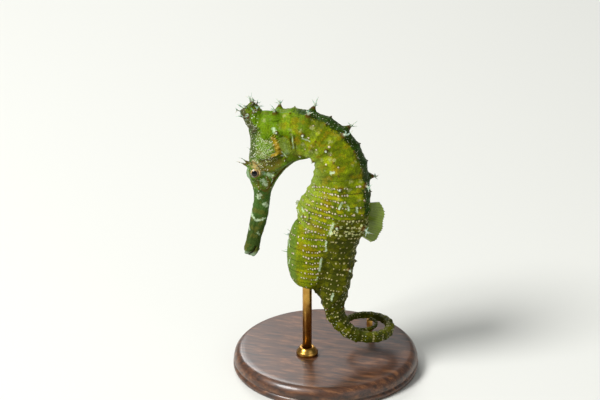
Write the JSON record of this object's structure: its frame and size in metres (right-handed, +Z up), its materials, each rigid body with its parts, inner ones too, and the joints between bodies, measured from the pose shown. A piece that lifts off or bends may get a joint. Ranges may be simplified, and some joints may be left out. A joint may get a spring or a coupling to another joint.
{
  "type": "seahorse display model",
  "caption": "Life-size spiny male seahorse with bent head, ringed and thorned body, brood pouch and coiled tail, held by rods on a round wooden base.",
  "frame": {"origin": "on the flat underside of the stand's round base, in the animal's plane of symmetry, below the front of the trunk", "axes": "+Z up through the stand; the seahorse faces -X and its left side faces -Y, with its head, trunk and pouch in the plane y = 0"},
  "size_m": [0.048, 0.048, 0.0729],
  "materials": {
    "skin": "satin, wet-looking, yellow-green with pale dots",
    "dark_skin": "satin, brown-olive with rows of white dots",
    "snout_skin": "satin, brown-olive with white bands",
    "fin": "thin, translucent, rayed",
    "eye": "glossy, with a dark pupil",
    "base_wood": "turned dark hardwood, satin varnish",
    "stand_brass": "brushed, lacquered"
  },
  "bodies": {
    "root": {"mouth": "snout_skin", "snout": "snout_skin", "head": "skin", "coronet": "skin", "eye_left": "eye", "eye_right": "eye", "neck": "skin", "trunk_upper": "skin", "trunk_middle": "skin", "trunk_lower": "skin", "brood_pouch": "skin", "tail_1": "dark_skin", "tail_2": "dark_skin", "tail_3": "dark_skin", "tail_4": "dark_skin", "tail_5": "dark_skin", "tail_6": "dark_skin", "tail_7": "dark_skin", "dorsal_fin": "fin", "pectoral_fin_left": "fin", "pectoral_fin_right": "fin", "anal_fin": "fin", "stand_base": "base_wood", "stand_rod_body": "stand_brass", "stand_rod_tail": "stand_brass", "stand_collar": "stand_brass"}
  },
  "joints": []
}
